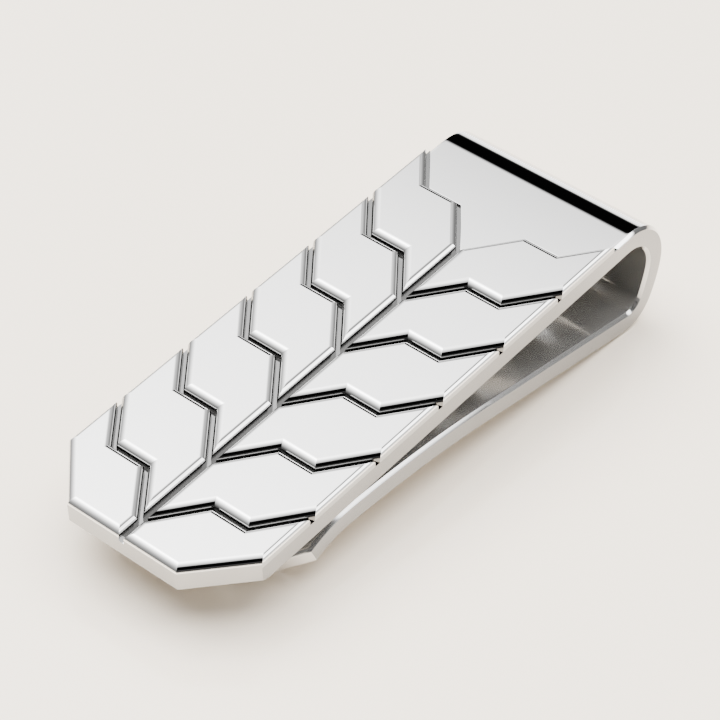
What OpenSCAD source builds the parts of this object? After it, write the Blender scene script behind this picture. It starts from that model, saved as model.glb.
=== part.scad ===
// Money clip: one sprung strip folded back on itself. The front blade carries
// two columns of raised plates, a teardrop bend turns the strip round, and the
// spring tongue comes back underneath, presses on the blade near its tip and
// flares away at its end to let the notes in.
//
// Millimetres, +Z up. The clip stands as it lies on a table, on the bottom of
// the bend and the end of the tongue. The tip points to -X, the bend to +X.

/* [Strip] */
// Width of the strip
strip_w = 18; // [15:0.5:22]
// Thickness of the strip
strip_t = 1.9; // [1.6:0.05:2.1]
// Chamfer along the strip's long edges
edge_c = 0.25; // [0.15:0.05:0.3]

/* [Tip] */
// Length of a cut corner along the strip
cut_x = 4.25; // [3:0.25:5]
// Width of a cut corner across the strip
cut_y = 3.95; // [3:0.05:5]
// Bevel under the tip that leads the notes in
lead_in = 0.45; // [0.2:0.05:0.6]

/* [Plates] */
// Height of a plate above its seat
plate_h = 0.8; // [0.6:0.05:1]
// Depth of the seat milled into the blade
seat_d = 0.2; // [0.1:0.05:0.3]
// Distance from one row of plates to the next
pitch = 6.96; // [6.5:0.02:7]
// Where the first groove meets the centre line
first_x = 0.82; // [0.6:0.02:1.1]
// Distance along the blade from the centre line to the cross step
step_x = 4.46; // [4.2:0.02:4.6]
// Inner end of the cross step
step_in = 3.46; // [3.3:0.02:3.6]
// Outer end of the cross step
step_out = 6.55; // [6.2:0.05:6.8]
// Slope of a groove beyond the step, along over across
outer_m = 1.28; // [1.1:0.02:1.4]
// Width of the flat floor of a groove
floor_w = 0.3; // [0.2:0.05:0.4]
// Width of the floor of the centre groove
mid_w = 0.45; // [0.3:0.05:0.6]
// Run of the rounded butt end of a plate
butt_run = 0.7; // [0.5:0.05:0.8]
// Depth of the rounded butt end of a plate
butt_d = 0.55; // [0.5:0.05:0.6]
// Run of the rounded shoulder beside a groove
shoulder_w = 0.5; // [0.3:0.05:0.5]
// Run of the rounded edge along the strip's side
side_w = 0.38; // [0.2:0.02:0.44]
// Depth of the rounded shoulders and side edges
shoulder_d = 0.45; // [0.4:0.05:0.5]

/* [Bend] */
// Length of the flat blade, from the tip to the bend
blade_l = 45.9; // [45.9:0.1:48]
// Radius of the top of the bend, at mid thickness
bend_r1 = 3.8; // [3.6:0.1:4.5]
// Radius of the back of the bend
bend_r2 = 9; // [7:0.5:12]
// Radius of the bottom of the bend
bend_r3 = 2.3; // [1.9:0.1:3]

/* [Tongue] */
// Slope of the tongue where it leaves the bend
tongue_s = 13.2; // [12.8:0.1:14]
// Gap between tongue and blade where they meet
nip_gap = 0.06; // [0.04:0.01:0.15]
// Radius of the long middle curve
tongue_r = 100; // [90:5:110]
// Radius of the flare that leads the notes in
flare_r = 9; // [8:0.5:11]
// Angle of the flared lip below the blade
flare_a = 22; // [18:1:25]
// Length of the straight lip
lip_l = 4.3; // [4:0.1:5]

/* [Hidden] */
$fn = 128;
rows = 6;
tiny = 0.05;
far = 20;
half_w = strip_w / 2;
half_t = strip_t / 2;
seat_r = half_t + 0.03;        // flex line: hollow of the upper half
knuckle_r = half_t - 0.02;     // and round of the lower half
seat_z = strip_t - seat_d;     // blade frame: z = 0 on the blade's underside
sweep1 = 102;                  // turn made by each arc of the bend
sweep2 = 18;
sweep3 = 180 + tongue_s - sweep1 - sweep2;
sweep4 = 9.2;
slope5 = tongue_s - sweep4;    // slope where the flare starts

// The strip's middle line: a point and a heading, moved on by arcs and lines.
// A heading of 0 points along +X and 90 along +Z.
function ahead(p, h, d) = p + d * [cos(h), sin(h)];
function right_c(p, h, r) = p + r * [sin(h), -cos(h)];
function left_c(p, h, r) = p - r * [sin(h), -cos(h)];
function turn_right(p, h, r, a) = right_c(p, h, r) - r * [sin(h - a), -cos(h - a)];
function turn_left(p, h, r, a) = left_c(p, h, r) + r * [sin(h + a), -cos(h + a)];

p1 = [blade_l, half_t];
p2 = turn_right(p1, 0, bend_r1, 90);                 // flex line
p3 = turn_right(p1, 0, bend_r1, sweep1);
p4 = turn_right(p3, -sweep1, bend_r2, sweep2);
h4 = -sweep1 - sweep2;
p5 = turn_right(p4, h4, bend_r3, sweep3);
h5 = -180 - tongue_s;
// the straight part is as long as it must be for the crest to meet the blade
rise = -nip_gap - half_t - p5[1];
curve_rise = tongue_r * (cos(slope5) - cos(tongue_s)) + flare_r * (1 - cos(slope5));
tongue_l = (rise - curve_rise) / sin(tongue_s);
p6 = ahead(p5, h5, tongue_l);
p7 = turn_left(p6, h5, tongue_r, sweep4);
h7 = h5 + sweep4;
p8 = turn_left(p7, h7, flare_r, slope5 + flare_a);
h8 = h7 + slope5 + flare_a;
p9 = ahead(p8, h8, lip_l);

// How the clip lies: a line under the bend's bottom and the lip's lower edge.
bend_c = right_c(p4, h4, bend_r3);
toe = ahead(p9, h8, -edge_c) + half_t * [-sin(h8), cos(h8)];
reach = bend_c - toe;
tilt = asin((bend_r3 + half_t) / norm(reach)) - atan2(reach[1], reach[0]);
low_z = toe[0] * sin(tilt) + toe[1] * cos(tilt);
back_x = blade_l * cos(tilt) - (half_t - bend_r1) * sin(tilt) + bend_r1 + half_t;
front_x = -(seat_z + plate_h - butt_d) * sin(tilt);
mid_x = (back_x + front_x) / 2;

// Puts what is drawn in the blade's own frame where the lying clip has it.
module lying() {
    translate([-mid_x, 0, -low_z]) rotate([0, -tilt, 0]) children();
}

// ---- the strip --------------------------------------------------------------

// Cross-section of the strip, thickness along X and width along Y.
module section(r = 0) {
    c = edge_c;
    polygon([
        [r - half_t + c, -half_w], [r + half_t - c, -half_w],
        [r + half_t, c - half_w], [r + half_t, half_w - c],
        [r + half_t - c, half_w], [r - half_t + c, half_w],
        [r - half_t, half_w - c], [r - half_t, c - half_w]]);
}

// The part of the bend that turns about centre c, from angle a, through sweep s.
module curved(c, r, a, s) {
    translate([c[0], 0, c[1]]) rotate([90, 0, 0]) rotate([0, 0, a])
        rotate_extrude(angle = s) section(r);
}

// Stations along a stretch of the middle line: [point, heading, half width].
function line_st(p, h, l, n, w = half_w) =
    [for (i = [0:n - 1]) [ahead(p, h, l * i / n), h, w]];
function right_st(p, h, r, a, n) =
    [for (i = [0:n - 1]) [turn_right(p, h, r, a * i / n), h - a * i / n, half_w]];
function left_st(p, h, r, a, n) =
    [for (i = [0:n - 1]) [turn_left(p, h, r, a * i / n), h + a * i / n, half_w]];

// The eight corners of the strip's cross-section at station s, each chamfer c.
function ring(s, c) =
    let (p = s[0], u = [-sin(s[1]), cos(s[1])], w = s[2])
    [for (q = [[-half_t, c - w], [-half_t, w - c], [c - half_t, w], [half_t - c, w],
               [half_t, w - c], [half_t, c - w], [half_t - c, -w], [c - half_t, -w]])
        [p[0] + u[0] * q[0], q[1], p[1] + u[1] * q[0]]];

// A closed band through rings of eight points.
module band(rings) {
    m = len(rings);
    polyhedron(
        points = [for (r = rings) for (q = r) q],
        faces = concat(
            [[for (i = [0:7]) i]],
            [for (j = [0:m - 2]) for (i = [0:7])
                [j * 8 + i, (j + 1) * 8 + i, (j + 1) * 8 + (i + 1) % 8,
                 j * 8 + (i + 1) % 8]],
            [[for (i = [7:-1:0]) (m - 1) * 8 + i]]));
}

// A bar along the edge from p to q, inside on its left, with outline prof.
module bar(p, q, prof) {
    d = q - p;
    translate([p[0], p[1], 0]) rotate([0, 0, atan2(d[1], d[0])])
        translate([-1, 0, 0]) rotate([90, 0, 90])
            linear_extrude(norm(d) + 2) polygon(prof);
}

// Cuts an upper edge back by run, over depth d, below height z.
function top_cut(z, run, d) = [
    [-tiny, z - d], [0, z - d], [run, z], [run, z + tiny], [-tiny, z + tiny]];
// Cuts a lower edge back.
function low_cut(run, d) = [
    [-tiny, -tiny], [run, -tiny], [run, 0], [0, d], [-tiny, d]];

// ---- the pattern ------------------------------------------------------------

// Groove k from y0 to y1, moved towards the bend by off: across the blade it
// climbs away from the centre, steps straight across and climbs again.
inner_m = step_x / step_in;
function groove(k, off, y0, y1) =
    let (c = first_x + (k - 1) * pitch,
         e1 = off * sqrt(1 + inner_m * inner_m),
         e3 = off * sqrt(1 + outer_m * outer_m),
         ya = step_in + (off - e1) / inner_m,
         yb = step_out + (off - e3) / outer_m)
    [[c + inner_m * y0 + e1, y0], [c + step_x + off, ya], [c + step_x + off, yb],
     [c + step_x + outer_m * (y1 - step_out) + e3, y1]];

// Everything to the tip side of a groove line, on both halves of the blade.
module tip_side(k, off) {
    g = groove(k, off, 0, half_w + far);
    for (s = [0, 1]) mirror([0, s, 0])
        translate([0, 0, -far]) linear_extrude(2 * far)
            polygon([[-far, -tiny * s], [g[0][0], -tiny * s], g[0], g[1], g[2], g[3],
                     [-far, half_w + far]]);
}

// The tip's outline from y0 to y1, moved in by off: end edge, then cut corner,
// with as many points as a groove has.
function tip_line(off, y0, y1) =
    let (n = norm([cut_x, cut_y]), ys = half_w - cut_y)
    [[off, y0], [off, step_in], [off, ys + off * (cut_y - n) / cut_x],
     [((y1 - ys) * cut_x + off * n) / cut_y, y1]];

// Outline of a plate on the +Y half, its butt end moved in by the share b of
// its run and its other edges by the share e. The butt end faces the tip.
function plate_line(k, b, e) =
    let (y0 = mid_w / 2 + shoulder_w * e, y1 = half_w - side_w * e,
         butt = k == 1 ? tip_line(butt_run * b, y0, y1)
                       : groove(k - 1, shoulder_w + floor_w + butt_run * b, y0, y1))
    concat([for (i = [3:-1:0]) butt[i]], groove(k, shoulder_w * (1 - e), y0, y1));

// The share of its run that an edge rounded to depth d has drawn in at depth t.
function rounding(t, d) = t < d ? 1 - sqrt(1 - pow(1 - t / d, 2)) : 0;

// A plate is flat-sided, so it is stacked from its outlines at nine heights.
module plate(k) {
    depths = [plate_h, butt_d, shoulder_d - 0.02, 0.34, 0.23, 0.14, 0.07, 0.02, 0];
    rings = [for (t = depths)
        plate_line(k, rounding(t, butt_d), rounding(t, shoulder_d))];
    m = len(depths);
    cap = [[0, 1, 6, 7], [1, 2, 5, 6], [2, 3, 4, 5]];
    polyhedron(
        points = [for (j = [0:m - 1]) for (q = rings[j])
            [q[0], q[1], seat_z + plate_h - depths[j]]],
        faces = concat(
            cap,
            [for (j = [0:m - 2]) for (i = [0:7])
                [j * 8 + i, (j + 1) * 8 + i, (j + 1) * 8 + (i + 1) % 8,
                 j * 8 + (i + 1) % 8]],
            [for (c = cap) [for (i = [3:-1:0]) (m - 1) * 8 + c[i]]]));
}

// ---- sub-parts --------------------------------------------------------------

module front_blade() color([0.80, 0.80, 0.82]) lying() {
    tip = [[0, half_w - cut_y], [cut_x, half_w]];
    difference() {
        linear_extrude(strip_t) polygon([
            [0, tip[0][1]], [0, -tip[0][1]], [cut_x, -half_w],
            [blade_l, -half_w], [blade_l, half_w], [cut_x, half_w]]);
        // seat of the plates
        intersection() {
            translate([-1, -far, seat_z]) cube([blade_l + 2, 2 * far, 2]);
            tip_side(rows, shoulder_w + floor_w);
        }
        // chamfers beside the plain part
        difference() {
            for (s = [0, 1]) mirror([0, s, 0])
                bar([blade_l, half_w], [blade_l - 12, half_w],
                    top_cut(strip_t, edge_c, edge_c));
            tip_side(rows, shoulder_w + floor_w);
        }
        for (s = [0, 1]) mirror([0, s, 0]) {
            bar([blade_l, half_w], [0, half_w], low_cut(edge_c, edge_c));
            bar(tip[1], tip[0], low_cut(lead_in, lead_in));
        }
        bar([0, half_w], [0, -half_w], low_cut(lead_in, lead_in));
    }
}

module bend_upper() color([0.70, 0.72, 0.78]) lying() {
    difference() {
        curved(right_c(p1, 0, bend_r1), bend_r1, 0, 90);
        translate([p2[0], 0, p2[1]]) rotate([90, 0, 0])
            cylinder(r = seat_r, h = strip_w + 2, center = true);
    }
}

module bend_lower() color([0.62, 0.66, 0.74]) lying() {
    st = concat(
        right_st(p2, -90, bend_r1, sweep1 - 90, 4),
        right_st(p3, -sweep1, bend_r2, sweep2, 6),
        right_st(p4, h4, bend_r3, sweep3, 20),
        [[p5, h5, half_w]]);
    union() {
        band([for (s = st) ring(s, edge_c)]);
        // round of the flex line
        translate([p2[0], 0, p2[1]]) rotate([90, 0, 0]) rotate_extrude()
            polygon([[0, -half_w], [knuckle_r - edge_c, -half_w],
                     [knuckle_r, edge_c - half_w], [knuckle_r, half_w - edge_c],
                     [knuckle_r - edge_c, half_w], [0, half_w]]);
    }
}

module spring_tongue() color([0.74, 0.76, 0.72]) lying() {
    // the lip narrows to its end, whose edges are chamfered too
    cut_at = ahead(p8, h8, lip_l - cut_x);
    end_at = ahead(p9, h8, -edge_c);
    narrow = half_w - cut_y;
    st = concat(
        line_st(p5, h5, tongue_l, 1),
        left_st(p6, h5, tongue_r, sweep4, 8),
        left_st(p7, h7, flare_r, slope5 + flare_a, 10),
        [[p8, h8, half_w], [cut_at, h8, half_w],
         [end_at, h8, narrow + cut_y * edge_c / cut_x]]);
    u = [-sin(h8), cos(h8)];
    w = narrow - edge_c;
    t = half_t - edge_c;
    band(concat([for (s = st) ring(s, edge_c)],
        [[for (q = [[-t, -w], [-t, w], [-t, w], [t, w], [t, w], [t, -w], [t, -w], [-t, -w]])
            [p9[0] + u[0] * q[0], q[1], p9[1] + u[1] * q[0]]]]));
}

module left(k) color([0.86, 0.80, 0.62]) lying() plate(k);
module right(k) color([0.66, 0.80, 0.86]) lying() mirror([0, 1, 0]) plate(k);

module plate_left_1() left(1);
module plate_left_2() left(2);
module plate_left_3() left(3);
module plate_left_4() left(4);
module plate_left_5() left(5);
module plate_left_6() left(6);
module plate_right_1() right(1);
module plate_right_2() right(2);
module plate_right_3() right(3);
module plate_right_4() right(4);
module plate_right_5() right(5);
module plate_right_6() right(6);

spring_tongue();
bend_lower();
front_blade();
bend_upper();
plate_left_1();
plate_left_2();
plate_left_3();
plate_left_4();
plate_left_5();
plate_left_6();
plate_right_1();
plate_right_2();
plate_right_3();
plate_right_4();
plate_right_5();
plate_right_6();
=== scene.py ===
# %% [markdown]
# # A sprung money clip
# The real thing is one polished metal strip, bent back on itself, with raised
# plates on its face. Here the strip is made of three pieces that meet without a
# visible seam, and every plate is a piece of its own. All of it stands in the
# frame that the design gives, in metres.

# %% Load the frame
import math
import bpy
import numpy as np
from mathutils import Matrix


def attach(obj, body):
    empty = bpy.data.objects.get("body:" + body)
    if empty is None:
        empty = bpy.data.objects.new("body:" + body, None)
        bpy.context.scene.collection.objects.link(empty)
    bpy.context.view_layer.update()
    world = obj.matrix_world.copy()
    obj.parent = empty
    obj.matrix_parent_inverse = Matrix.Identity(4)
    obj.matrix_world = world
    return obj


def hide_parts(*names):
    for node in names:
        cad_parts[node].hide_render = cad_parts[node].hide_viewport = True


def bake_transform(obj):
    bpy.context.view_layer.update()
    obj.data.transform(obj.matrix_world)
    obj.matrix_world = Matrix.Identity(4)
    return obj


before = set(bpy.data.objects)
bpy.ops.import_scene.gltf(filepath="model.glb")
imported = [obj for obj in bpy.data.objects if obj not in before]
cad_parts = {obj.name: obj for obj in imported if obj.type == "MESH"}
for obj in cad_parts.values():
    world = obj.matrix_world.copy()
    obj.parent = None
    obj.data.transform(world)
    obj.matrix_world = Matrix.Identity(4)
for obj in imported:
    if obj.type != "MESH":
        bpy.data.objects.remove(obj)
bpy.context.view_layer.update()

# %% [markdown]
# ## The camera
# The view is from above the tip's side, with a long lens, which keeps the strip's
# long edges nearly parallel. The camera is placed first, so that every later
# step can be seen from where it matters.

# %% Place the camera
lens = bpy.data.cameras.new("long_lens")
lens.lens = 147.7
lens.sensor_width = 36.0
lens.shift_x = -0.0107
lens.shift_y = -0.0071
lens.clip_start = 0.01
lens.clip_end = 20.0
camera = bpy.data.objects.new("camera", lens)
bpy.context.scene.collection.objects.link(camera)
HEADING, LOOK_DOWN, ROLL = -52.58, 40.18, 3.54       # degrees
stand = Matrix.Translation((-0.13037, -0.10032, 0.14493))
turn = Matrix.Rotation(math.radians(HEADING), 4, "Z")
nod = Matrix.Rotation(math.radians(90 - LOOK_DOWN), 4, "X")
roll = Matrix.Rotation(math.radians(ROLL), 4, "Z")
camera.matrix_world = stand @ turn @ nod @ roll
bpy.context.scene.camera = camera
print("camera looks along", [round(-v, 3) for v in camera.matrix_world.col[2][:3]])

# %% [markdown]
# ## The strip's middle line
# The strip is a ribbon of even thickness, so its whole shape follows from one
# line in its middle: straight along the blade, round the bend in three arcs,
# back along the tongue, and down along the flared lip. Arcs and lines are one
# formula, because a chord of an arc points along its mean heading and is
# shorter than the arc by a sinc factor.

# %% The path as numbers
WIDTH, THICK = 18.0, 1.9                 # millimetres in the shapes, metres at the end
HALF_W, HALF_T = WIDTH / 2, THICK / 2
BLADE, LIP = 45.9, 4.3                   # the two straight ends
TOP_R, BACK_R, BOTTOM_R = 3.8, 9.0, 2.3  # radii of the bend, at mid thickness
TOP_TURN, BACK_TURN = 102.0, 18.0        # degrees turned by the first two of them
LONG_R, FLARE_R = 100.0, 9.0             # radii of the tongue's long curve and of its flare
SLOPE, EASE, FLARE = 13.2, 9.2, 22.0     # degrees: tongue's slope, long curve, flared lip
GAP = 0.06                               # between the tongue's crest and the blade
bends = np.array([                       # radius, turn to the right in degrees
    [TOP_R, TOP_TURN], [BACK_R, BACK_TURN], [BOTTOM_R, 180 + SLOPE - TOP_TURN - BACK_TURN],
    [LONG_R, -EASE], [FLARE_R, EASE - SLOPE - FLARE]])
arc_len = bends[:, 0] * np.radians(np.abs(bends[:, 1]))
arc_curve = np.sign(bends[:, 1]) / bends[:, 0]


def chain(tongue):
    """Start, heading and curvature of each stretch, for a tongue of that straight length.

    Each stretch starts where the one before ends: start + chord along the mean heading."""
    length = np.array([BLADE, *arc_len[:3], tongue, *arc_len[3:], LIP])
    curve = np.array([0.0, *arc_curve[:3], 0.0, *arc_curve[3:], 0.0])
    turned = curve * length
    heading = -np.concatenate([[0.0], np.cumsum(turned)[:-1]])
    chord = length * np.sinc(turned / (2 * np.pi))
    mean = heading - turned / 2
    ends = np.stack([chord * np.cos(mean), chord * np.sin(mean)], 1).cumsum(0)
    start = np.concatenate([[[0.0, 0.0]], ends[:-1]]) + [0.0, HALF_T]
    return start, heading, curve, np.concatenate([[0.0], np.cumsum(length)])


foot = chain(0.0)[0][4][1]               # height of the tongue's start
rise = -GAP - HALF_T - foot
rise -= LONG_R * (math.cos(math.radians(SLOPE - EASE)) - math.cos(math.radians(SLOPE)))
rise -= FLARE_R * (1 - math.cos(math.radians(SLOPE - EASE)))
TONGUE = rise / math.sin(math.radians(SLOPE))
start, heading, curve, mark = chain(TONGUE)
print("straight tongue", round(TONGUE, 3), "mm, whole strip", round(mark[-1], 2), "mm")

# %% [markdown]
# The clip lies on the bottom of its bend and on the edge of its lip, so the
# whole drawing is tipped by the slope of the line that touches both.

# %% From the path to the frame
def along(s):
    """Point and heading of the middle line at distance s from the tip.

    point = start + local * sinc(turn / 2) along (heading + turn / 2)."""
    k = np.clip(np.searchsorted(mark, s, side="right") - 1, 0, len(start) - 1)
    local = s - mark[k]
    turned = -curve[k] * local
    chord = local * np.sinc(turned / (2 * np.pi))
    mean = heading[k] + turned / 2
    point = start[k] + np.stack([chord * np.cos(mean), chord * np.sin(mean)], -1)
    return point, heading[k] + turned


def off_line(s, n):
    """The point at height n above the middle line, at distance s along it."""
    point, h = along(np.asarray(s, float))
    return point + np.stack([-np.sin(h) * n, np.cos(h) * n], -1)


EDGE = 0.25                              # chamfer of the strip's long edges
SEAT_DEEP, PLATE_HIGH = 0.2, 0.8
SEAT = THICK - SEAT_DEEP                 # the plates stand in a seat milled into the blade
TOP = SEAT + PLATE_HIGH
BUTT = 0.55                              # depth to which a plate's butt end is rounded
down = math.radians(TOP_TURN + BACK_TURN)
belly = along(mark[3])[0] - BOTTOM_R * np.array([math.sin(down), math.cos(down)])
toe = off_line(mark[-1] - EDGE, HALF_T)
reach = belly - toe
TILT = math.asin((BOTTOM_R + HALF_T) / np.hypot(*reach)) - math.atan2(reach[1], reach[0])
low = toe[0] * math.sin(TILT) + toe[1] * math.cos(TILT)
back = BLADE * math.cos(TILT) - (HALF_T - TOP_R) * math.sin(TILT) + TOP_R + HALF_T
middle = (back - (TOP - BUTT) * math.sin(TILT)) / 2


def place(s, y, n):
    """Frame coordinates, in metres, of distance s, width y and height n above the middle line.

    The path's point is turned by the tilt and moved so that the box is centred on the floor."""
    p = off_line(s, n)
    x = p[..., 0] * math.cos(TILT) - p[..., 1] * math.sin(TILT) - middle
    z = p[..., 0] * math.sin(TILT) + p[..., 1] * math.cos(TILT) - low
    return np.stack([x, np.broadcast_to(y, x.shape), z], -1) / 1000


print("tilt", round(math.degrees(TILT), 4), "degrees, back of the bend at",
      place(BLADE + TOP_R * math.pi / 2, 0, 0).round(5))

# %% [markdown]
# ## One builder for every piece
# A plate, the blade, the bend and the tongue are all the same kind of thing: a
# stack of closed rings with the same number of points. The builder joins each
# ring to the next with quads, closes both ends with quads between facing
# points, and turns the faces outwards if the volume comes out negative. Flat
# faces must stay flat in a mirror, so normals are weighted by face area. Two
# numbers are kept on every face for the finish: its share of painted shade,
# which darkens grooves and upright walls, and whether it is on the inner side.

# %% Rings into a solid
SHARP = 26                               # degrees: a sharper edge is shaded as an edge
WALL_SHADE = 0.72                         # painted shade on an upright wall, darkening what it mirrors


def solid(name, rings, mitred=False, painted_shade=None):
    """A closed mesh object through rings of shape (rings, points, 3).

    One face attribute, from 0 to 1, is painted shade that darkens the colour: fully on the
    faces low in a groove, and partly on the upright walls of the strip. The face
    attribute inner marks the strip's inner side, which the notes rub to a satin.
    Side quads join point j of ring i to its neighbours; the end caps join point j to point
    m-1-j, across the ring. Volume is the sum of the signed tetrahedra under the triangles."""
    r, m = rings.shape[:2]
    i, j = np.meshgrid(np.arange(r - 1), np.arange(m), indexing="ij")
    nxt = (j + 1) % m
    sides = np.stack([i * m + j, i * m + nxt, (i + 1) * m + nxt, (i + 1) * m + j], -1).reshape(-1, 4)
    j = np.arange(m // 2 - 1)
    cap = np.stack([j, m - 1 - j, m - 2 - j, j + 1], -1)
    faces = np.concatenate([sides, cap, cap[:, ::-1] + (r - 1) * m])
    flat = rings.reshape(-1, 3)
    tri = np.concatenate([faces[:, [0, 1, 2]], faces[:, [0, 2, 3]]])
    volume = np.einsum("ij,ij->i", flat[tri[:, 0]], np.cross(flat[tri[:, 1]], flat[tri[:, 2]])).sum() / 6
    if volume < 0:
        faces = faces[:, ::-1]
    mesh = bpy.data.meshes.new(name)
    mesh.from_pydata(flat.tolist(), [], faces.tolist())
    shade_share = np.zeros(len(faces), np.float32)
    shade_share[:len(sides)] = 0.0 if painted_shade is None else painted_shade.ravel()
    normal = np.empty(len(faces) * 3, np.float32)
    mesh.polygons.foreach_get("normal", normal)
    normal = normal.reshape(-1, 3)
    upright = np.abs(normal[:, 2] * math.cos(TILT) - normal[:, 0] * math.sin(TILT)) < 0.2
    wall = np.where(name in ("bend", "tongue"), np.abs(normal[:, 1]) > 0.9, upright)
    # painted shade on the upright walls, which darkens their colour
    shade_share = np.maximum(shade_share, WALL_SHADE * wall).astype(np.float32)
    mesh.attributes.new("painted_shade", "FLOAT", "FACE").data.foreach_set("value", shade_share)
    inner = np.zeros(len(faces), np.float32)
    if name in ("blade", "bend", "tongue"):
        inner[:len(sides)] = np.tile(np.arange(m) >= m // 2, r - 1)
    mesh.attributes.new("inner", "FLOAT", "FACE").data.foreach_set("value", inner)
    mesh.shade_smooth()
    mesh.set_sharp_from_angle(angle=math.radians(SHARP))
    if mitred:
        ends = np.empty(len(mesh.edges) * 2, np.int32)
        mesh.edges.foreach_get("vertices", ends)
        sharp = np.empty(len(mesh.edges), bool)
        mesh.edges.foreach_get("use_edge_sharp", sharp)
        ends = ends.reshape(-1, 2)
        mesh.edges.foreach_set("use_edge_sharp", sharp | (np.abs(ends[:, 0] - ends[:, 1]) == m))
    piece = bpy.data.objects.new(name, mesh)
    bpy.context.scene.collection.objects.link(piece)
    smooth = piece.modifiers.new("flats_stay_flat", "WEIGHTED_NORMAL")
    smooth.keep_sharp = True
    smooth.weight = 100
    print(f"{name}: {len(faces)} faces, {abs(volume) * 1e9:.1f} mm3")
    return piece

# %% [markdown]
# ## The pattern's measures
# All grooves are one zigzag, repeated along the blade: out from the centre at a
# slope, straight across, and out again to the side. When such a line is moved
# along the blade, its two corners slide, and one small formula says where to.

# %% Measures of the grooves and plates
FIRST, PITCH, STEP, STEP_IN, STEP_OUT, OUTER = 0.82, 6.96, 4.46, 3.46, 6.55, 1.28
INNER = STEP / STEP_IN
CUT_X, CUT_Y = 4.25, 3.95
SLANT = math.hypot(CUT_X, CUT_Y)
RUN, FLOOR, MID = 0.7, 0.3, 0.45         # butt end, groove floor, centre groove floor
SHOULDER, SIDE, DROP = 0.5, 0.38, 0.45   # rounded shoulder, rounded side, depth of both
SEAT_END = SHOULDER + FLOOR


def corner_y(y, slope, move):
    """Width at which the cross step meets a slope after both have moved by move.

    width = y + (move - move * hypot(1, slope)) / slope."""
    return y + (move - move * math.hypot(1, slope)) / slope


print("grooves", round(SHOULDER + FLOOR + RUN, 2), "mm wide, every", PITCH, "mm")

# %% [markdown]
# ## The strip's section
# A polished edge is never a knife edge. The long edges are chamfered, and each
# corner of the chamfer is rounded by a few hundredths of a millimetre, which is
# what draws the thin bright lines on the real piece.

# %% The strip's section
ROUND = 0.06
EASED = ROUND * math.tan(math.radians(22.5))
quarter = np.radians([0, 15, 30, 45])


def eased_edge(size):
    """Inset and depth along a 45 degree chamfer of that size, with rounded corners.

    First round: inset = size + eased - r sin a, depth = r (1 - cos a); the second is its mirror."""
    far_side = size + EASED - ROUND * np.sin(quarter)
    near = ROUND * (1 - np.cos(quarter))
    return np.concatenate([far_side, near[::-1]]), np.concatenate([near, far_side[::-1]])


inset, depth = eased_edge(EDGE)
CORNER = HALF_W - CUT_Y                  # half width of the tip's end, between its cut corners
flats = np.array([0.0, 1.6, corner_y(STEP_IN, INNER, SEAT_END), 4.2, CORNER,
                  corner_y(STEP_OUT, OUTER, SEAT_END), 7.4, 8.55])
half_y = np.concatenate([flats, HALF_W - inset])
half_n = np.concatenate([np.full(len(flats), HALF_T), HALF_T - depth])
upper_y = np.concatenate([-half_y[:0:-1], half_y])
upper_n = np.concatenate([half_n[:0:-1], half_n])
section_y = np.concatenate([upper_y, upper_y[::-1]])
section_n = np.concatenate([upper_n, -upper_n[::-1]])
is_upper = section_n > 0
print("section of", len(section_y), "points")

# %% [markdown]
# ## The groove lines
# The same lines bound the plates and the plain part, so they are worked out
# once. The tip's outline is a line of the same kind: the end edge, then the cut
# corner.

# %% Lines across the blade
def groove_x(k, move, y):
    """Where groove k, moved by move towards the bend, crosses width y.

    The largest of the inner slope and the step, then the larger of the step and the outer slope."""
    y = np.abs(y)
    base = FIRST + (k - 1) * PITCH
    inner = base + INNER * y + move * math.hypot(1, INNER)
    step = base + STEP + move
    outer = base + STEP + OUTER * (y - STEP_OUT) + move * math.hypot(1, OUTER)
    return np.maximum(np.minimum(inner, step), outer)


def tip_x(move, y):
    """The tip's outline, moved in by move: the larger of the end edge and the cut corner."""
    return np.maximum(move, ((np.abs(y) - CORNER) * CUT_X + move * SLANT) / CUT_Y)


print("last groove meets the side at", round(float(groove_x(6, 0.0, HALF_W)), 2), "mm")

# %% [markdown]
# ## The blade
# Its top is the flat seat in which the plates stand, then the plain part beyond
# the last groove, a fifth of a millimetre higher. Rows of points follow the
# tip's outline at one end and the groove's zigzag further on, so both edges are
# exact. The bevel under the tip leads the notes in.

# %% Blade from tip to bend
LEAD, STEP_ROUND = 0.45, 0.05            # bevel under the tip, rounding of the seat's step
bevel_in, bevel_up = eased_edge(LEAD)
bevel_in, bevel_up = bevel_in[::-1], bevel_up[::-1]
rise_a = np.radians([0, 22.5, 45, 67.5, 90])
step_move = SEAT_END + STEP_ROUND * (1 - np.cos(rise_a))
step_n = HALF_T - STEP_ROUND + STEP_ROUND * np.sin(rise_a)
y = section_y[None, :]
tip_rows = tip_x(bevel_in[:, None], y)
seam_rows = groove_x(6, np.concatenate([[SEAT_END], step_move])[:, None], y)
s_rows = np.concatenate([tip_rows, seam_rows, np.full_like(y, BLADE)])
n_rows = np.broadcast_to(section_n, s_rows.shape).copy()
seat_n = SEAT - HALF_T
tips, seams = len(tip_rows), len(seam_rows)
n_rows[:tips + 1, is_upper] = seat_n
under = ~is_upper
n_rows[:tips, under] = np.maximum(n_rows[:tips, under], bevel_up[:, None] - HALF_T)
n_rows[tips + 1:tips + seams, is_upper] = np.minimum(section_n[is_upper][None, :], step_n[:, None])
# painted shade on the seat, seen at the floors of the grooves
seat_faces = np.zeros((len(s_rows) - 1, len(section_y)))
seat_faces[tips - 1:tips + 1, :len(upper_y) - 1] = 1.0
blade = solid("blade", place(s_rows, np.broadcast_to(y, s_rows.shape), n_rows), painted_shade=seat_faces)

# %% [markdown]
# ## The bend and the tongue
# The bend is the section carried round the three arcs, in steps of half a
# degree so that its reflections run smoothly. The tongue goes on from it to the
# flared lip, whose corners are cut like the tip's.

# %% Bend and tongue
def even(a, b, step):
    """Distances from a to b, both kept, no further apart than step."""
    return np.linspace(a, b, max(2, int(math.ceil((b - a) / step)) + 1))


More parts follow.
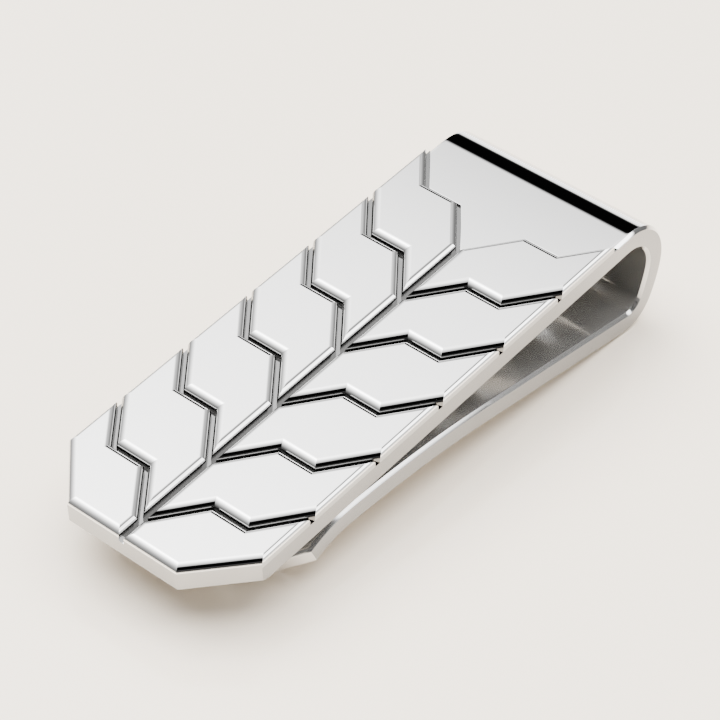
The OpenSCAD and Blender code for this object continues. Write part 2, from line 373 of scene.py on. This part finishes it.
OVER = 0.3                               # the bend piece runs a little into the straight
FAN = 5.2                                # over this length the rows turn to the cut end
s_bend = np.unique(np.concatenate([
    [mark[1], mark[1] + 0.02], even(mark[1] + 0.05, mark[2], 0.04), even(mark[2], mark[3], 0.08),
    even(mark[3], mark[4], 0.025), [mark[4] + OVER]]))
s_rows = np.broadcast_to(s_bend[:, None], (len(s_bend), len(section_y)))
bend = solid("bend", place(s_rows, section_y, np.broadcast_to(section_n, s_rows.shape)))

END = mark[-1]
turn_in = END - FAN
s_even = np.unique(np.concatenate([
    [mark[4] + OVER], even(mark[4] + OVER + 0.02, mark[5], 3.0), even(mark[5], mark[6], 0.8),
    even(mark[6], turn_in, 0.1)]))
s_rows = np.broadcast_to(s_even[:, None], (len(s_even), len(section_y)))
outline = END - tip_x(inset[:, None], y)
ease = np.linspace(0, 1, 15)[1:-1, None]
s_rows = np.concatenate([s_rows, turn_in + (outline[:1] - turn_in) * ease, outline])
n_rows = np.broadcast_to(section_n, s_rows.shape).copy()
limit = (HALF_T - depth)[:, None]
n_rows[-len(inset):] = np.clip(n_rows[-len(inset):], -limit, limit)
tongue = solid("tongue", place(s_rows, np.broadcast_to(y, s_rows.shape), n_rows))

# %% [markdown]
# ## The plates
# Each plate has a butt end facing the tip, rounded off like the end of a
# roof tile, and smaller rounded shoulders on its other edges. A plate is a stack
# of outlines: going down from the top, every edge grows out along a quarter of
# an ellipse, the butt end further than the rest.

# %% Twelve plates
round_a = np.radians(np.linspace(90, 0, 21))
levels = np.unique(np.round(np.concatenate([
    BUTT * (1 - np.sin(round_a)), DROP * (1 - np.sin(round_a)), [TOP - SEAT]]), 6))
levels = levels[np.concatenate([[True], np.diff(levels) > 0.0004])]      # no two all but equal


def drawn_in(t, whole):
    """Share of its run that an edge rounded to depth whole has drawn in at depth t.

    A quarter of an ellipse: 1 - sqrt(1 - (1 - t / whole)^2)."""
    part = np.clip(1 - t / whole, 0, 1)
    return 1 - np.sqrt(np.maximum(1 - part ** 2, 0))


def plate_rings(k, side):
    """Outlines of plate k, of shape (levels, 8, 3): four points of the butt end, four of the
    groove behind it, each where two moved lines meet."""
    b, e = RUN * drawn_in(levels, BUTT), drawn_in(levels, DROP)
    near, far = MID / 2 + SHOULDER * e, HALF_W - SIDE * e

    def zigzag(move):
        a, c = corner_y(STEP_IN, INNER, move), corner_y(STEP_OUT, OUTER, move)
        return np.stack([near, a, c, far], 1)

    if k == 1:
        corner = CORNER + b * (CUT_Y - SLANT) / CUT_X
        front_y = np.stack([near, np.full_like(b, STEP_IN), corner, far], 1)
        front_x = tip_x(b[:, None], front_y)
    else:
        move = SHOULDER + FLOOR + b
        front_y = zigzag(move)
        front_x = groove_x(k - 1, move[:, None], front_y)
    move = SHOULDER * (1 - e)
    rear_y = zigzag(move)
    rear_x = groove_x(k, move[:, None], rear_y)
    x = np.concatenate([front_x[:, ::-1], rear_x], 1)
    w = np.concatenate([front_y[:, ::-1], rear_y], 1) * side
    n = np.broadcast_to((TOP - levels - HALF_T)[:, None], x.shape)
    return place(x, w, n)


def plate_shade(k):
    """Painted shade on each side face of plate k, by its depth in a groove: a smooth step down its height.

    Faces on the side of the strip and on the tip's own edges get none."""
    mid = (levels[1:] + levels[:-1]) / 2
    part = np.clip((mid - 0.08) / 0.32, 0, 1)
    shade_share = np.repeat((part * part * (3 - 2 * part))[:, None], 8, 1)
    shade_share[:, 7] = 0.0
    shade_share[:, :3] *= k > 1
    return shade_share


plates = {}
for side, word in ((1, "left"), (-1, "right")):
    for k in range(1, 7):
        plates[f"plate_{word}_{k}"] = solid(
            f"tile_{word}_{k}", plate_rings(k, side), mitred=True, painted_shade=plate_shade(k))

# %% [markdown]
# ## Sums between sockets
# Shader nodes are arithmetic drawn as boxes. A small class that wraps an output
# socket lets the sums be written as sums: each operator adds a Math node, and
# `node` adds any other kind of node, with its settings and its socket values.

# %% A socket that can be added and multiplied
class Wire:
    """An output socket, or a plain number, in one node tree."""

    def __init__(self, tree, value):
        self.tree, self.value = tree, value

    def node(self, kind, settings=None, output=0, **sockets):
        """Adds a node, sets its properties and inputs, and returns one of its outputs.

        Inputs are named by their label with underscores for spaces, or by in_0, in_1."""
        made = self.tree.nodes.new(kind)
        for key, value in (settings or {}).items():
            setattr(made, key, value)
        for key, value in sockets.items():
            number = key[3:] if key.startswith("in_") else ""
            target = made.inputs[int(number)] if number.isdigit() else made.inputs[key.replace("_", " ")]
            if isinstance(value, Wire):
                value = value.value
            if isinstance(value, bpy.types.NodeSocket):
                self.tree.links.new(value, target)
            else:
                target.default_value = value
        return Wire(self.tree, made.outputs[output])

    def math(self, kind, a, b=0.0, clamp=False):
        return self.node("ShaderNodeMath", {"operation": kind, "use_clamp": clamp}, in_0=a, in_1=b)

    def __add__(self, other): return self.math("ADD", self, other)
    def __radd__(self, other): return self.math("ADD", other, self)
    def __sub__(self, other): return self.math("SUBTRACT", self, other)
    def __rsub__(self, other): return self.math("SUBTRACT", other, self)
    def __mul__(self, other): return self.math("MULTIPLY", self, other)
    def __rmul__(self, other): return self.math("MULTIPLY", other, self)
    def __truediv__(self, other): return self.math("DIVIDE", self, other)
    def __rtruediv__(self, other): return self.math("DIVIDE", other, self)
    def __pow__(self, other): return self.math("POWER", self, other)

    def dot(self, vector):
        return self.node("ShaderNodeVectorMath", {"operation": "DOT_PRODUCT"}, "Value",
                         in_0=self, in_1=tuple(float(v) for v in vector))

    def step(self, start, end):
        """Zero before start and one after end, with a smooth s-shaped slope between them."""
        return self.node("ShaderNodeMapRange", {"interpolation_type": "SMOOTHSTEP"}, "Result",
                         Value=self, From_Min=start, From_Max=end)

    def blend(self, other, share):
        """This value where share is 0 and the other where share is 1: self + (other - self) * share."""
        return self + (other - self) * share


print("operators ready:", [n for n in vars(Wire) if n.startswith("__")][2:])

# %% [markdown]
# ## Polished silver
# A polished metal is a mirror, and what makes it look like metal is everything
# that it mirrors. Close up the polish is not perfect: a soft cloth leaves lines
# along the strip that are far finer than a hair, and handling leaves faint
# cloudy patches. Both change the roughness a little, and the lines also lift
# the surface by a tiny bump. The grooves and the upright walls are darkened
# with painted shade. The inner side, where notes slide, is a satin.

# %% The finish
silver = bpy.data.materials.new("polished_silver")
silver.use_nodes = True
tree = silver.node_tree
shader = tree.nodes["Principled BSDF"]
wire = Wire(tree, 0.0)
spot = wire.node("ShaderNodeTexCoord", output="Object")
lines = wire.node("ShaderNodeMapping", Vector=spot, Scale=(400.0, 9000.0, 9000.0))
cloth = wire.node("ShaderNodeTexNoise", Vector=lines, Scale=1.0, Detail=3.0, Roughness=0.6)
cloud = wire.node("ShaderNodeTexNoise", Vector=spot, Scale=160.0, Detail=4.0, Roughness=0.55)
grain = wire.node("ShaderNodeTexNoise", Vector=spot, Scale=5200.0, Detail=2.0, Roughness=0.5)
shade_share = wire.node("ShaderNodeAttribute", {"attribute_name": "painted_shade"}, "Fac")
inner = wire.node("ShaderNodeAttribute", {"attribute_name": "inner"}, "Fac")
rough = 0.012 + 0.018 * cloud.step(0.35, 0.75) + 0.01 * cloth.step(0.4, 0.7) + 0.12 * shade_share + 0.07 * inner
metal = 1.0 - 0.12 * inner
clean = 0.93 - 0.025 * cloud.step(0.45, 0.8) - 0.02 * grain.step(0.55, 0.8)
# painted shade: the colour is darkened in the grooves and on the upright walls
tone = clean * (1.0 - 0.76 * shade_share) * (1.0 - 0.3 * inner)
tint = wire.node("ShaderNodeCombineColor", output="Color", Red=tone, Green=tone * 0.996, Blue=tone * 0.988)
bump = wire.node("ShaderNodeBump", output="Normal", Strength=0.03, Distance=0.00001, Height=cloth)
tree.links.new(rough.value, shader.inputs["Roughness"])
tree.links.new(tint.value, shader.inputs["Base Color"])
tree.links.new(bump.value, shader.inputs["Normal"])
tree.links.new(metal.value, shader.inputs["Metallic"])
for piece in [blade, bend, tongue, *plates.values()]:
    piece.data.materials.append(silver)
print("silver has", len(tree.nodes), "nodes")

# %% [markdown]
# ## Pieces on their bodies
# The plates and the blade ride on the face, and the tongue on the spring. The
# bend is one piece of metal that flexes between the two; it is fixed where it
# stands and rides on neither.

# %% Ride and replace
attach(blade, "clip_face")
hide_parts("front_blade")
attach(tongue, "spring")
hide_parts("spring_tongue")
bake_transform(bend)
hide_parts("bend_upper", "bend_lower")
for node, piece in plates.items():
    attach(piece, "clip_face")
    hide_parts(node)
print(len(plates) + 3, "pieces ride")

# %% [markdown]
# ## The floor
# A pale, warm, satin tabletop: it catches a soft shadow and a faint, blurred
# reflection. Very slight patches in its gloss keep it from looking computed.

# %% Tabletop
floor_mesh = bpy.data.meshes.new("floor")
floor_mesh.from_pydata([(-3, -3, 0), (3, -3, 0), (3, 3, 0), (-3, 3, 0)], [], [(0, 1, 2, 3)])
floor = bpy.data.objects.new("floor", floor_mesh)
bpy.context.scene.collection.objects.link(floor)
pale = bpy.data.materials.new("pale_floor")
pale.use_nodes = True
tree = pale.node_tree
shader = tree.nodes["Principled BSDF"]
wire = Wire(tree, 0.0)
spot = wire.node("ShaderNodeTexCoord", output="Object")
patch = wire.node("ShaderNodeTexNoise", Vector=spot, Scale=14.0, Detail=3.0)
gloss = 0.05 + 0.03 * patch.step(0.3, 0.7)
tree.links.new(gloss.value, shader.inputs["Roughness"])
shader.inputs["Base Color"].default_value = (0.90, 0.80, 0.67, 1)
floor_mesh.materials.append(pale)
print("floor of", floor.dimensions[0], "m")

# %% [markdown]
# ## Soft light from a tent
# The studio is a tent of cloth. One soft light shines through it high up at the
# far side, fading smoothly with the angle from its middle. A tall soft strip
# stands to one side, a low glow lies behind the clip, and black cloths hang
# where the metal should turn dark: a narrow one behind the bend and a wide one
# behind the camera. Each is given by the direction it lies in.

# %% The tent
def toward(azimuth, elevation):
    """Unit vector to an azimuth from +X towards +Y and an elevation above the floor, in degrees."""
    a, e = math.radians(azimuth), math.radians(elevation)
    return np.array([math.cos(e) * math.cos(a), math.cos(e) * math.sin(a), math.sin(e)])


def cloth_at(direction, azimuth, elevation, wide, tall, lean, soft):
    """Share of a rounded rectangle seen in a direction: 1 inside it, 0 outside.

    With x and y the offsets over the half sizes, its edge is where sqrt(x^4 + y^4) is 1."""
    centre = toward(azimuth, elevation)
    side = np.array([-math.sin(math.radians(azimuth)), math.cos(math.radians(azimuth)), 0.0])
    up = np.cross(centre, side)
    c, s = math.cos(math.radians(lean)), math.sin(math.radians(lean))
    x = direction.dot((c * side + s * up) / math.sin(math.radians(wide)))
    y = direction.dot((c * up - s * side) / math.sin(math.radians(tall)))
    far = (x ** 4.0 + y ** 4.0) ** 0.25
    return (1.0 - far.step(1.0 - soft, 1.0 + soft)) * direction.dot(centre).step(0.0, 0.05)


tent = bpy.data.worlds.new("tent")
bpy.context.scene.world = tent
tent.use_nodes = True
wire = Wire(tent.node_tree, 0.0)
direction = wire.node("ShaderNodeTexCoord", output="Generated")
apart = wire.math("ARCCOSINE", direction.dot(toward(75, 62)))
level = 0.14 + 13.0 * wire.math("EXPONENT", -1.0 * (apart / math.radians(16)))
# azimuth, elevation, half width, half height, lean, softness, light
cloths = [
    (-14, 60, 22, 13, 0, 0.40, 0.5),
    (-60, 8, 14, 16, 0, 0.50, 1.2),
    (-50, 42, 13, 20, 0, 0.25, 6.5),
    (-118, 42, 38, 30, 0, 0.15, 0.002),
    (-118, 24, 30, 6, 0, 0.60, 0.09),
    (24, 0, 16, 12, 0, 0.60, 3.5),
    (29.5, 28.5, 9, 18.5, -22, 0.24, 0.002)]
for *shape, light in cloths:
    level = level.blend(light, cloth_at(direction, *shape))
grey = wire.node("ShaderNodeCombineColor", output="Color", Red=level, Green=level, Blue=level)
backdrop = tent.node_tree.nodes["Background"]
tent.node_tree.links.new(grey.value, backdrop.inputs["Color"])
backdrop.inputs["Strength"].default_value = 1.0
print("tent of", len(cloths), "cloths,", len(tent.node_tree.nodes), "nodes")

# %% [markdown]
# A wide lamp overhead lifts the tabletop to its pale tone. It is left out of
# mirrors, where the tent alone is seen.

# %% The lamp over the table
lamp = bpy.data.lights.new("overhead", "AREA")
lamp.shape = "DISK"
lamp.size = 1.6
lamp.energy = 48.0
over = bpy.data.objects.new("overhead", lamp)
over.location = (0.10, 0.18, 0.9)
over.rotation_euler = (-0.2, 0.11, 0.0)
over.visible_glossy = False
bpy.context.scene.collection.objects.link(over)
print("overhead lamp", lamp.energy, "W")

# %% [markdown]
# ## Close
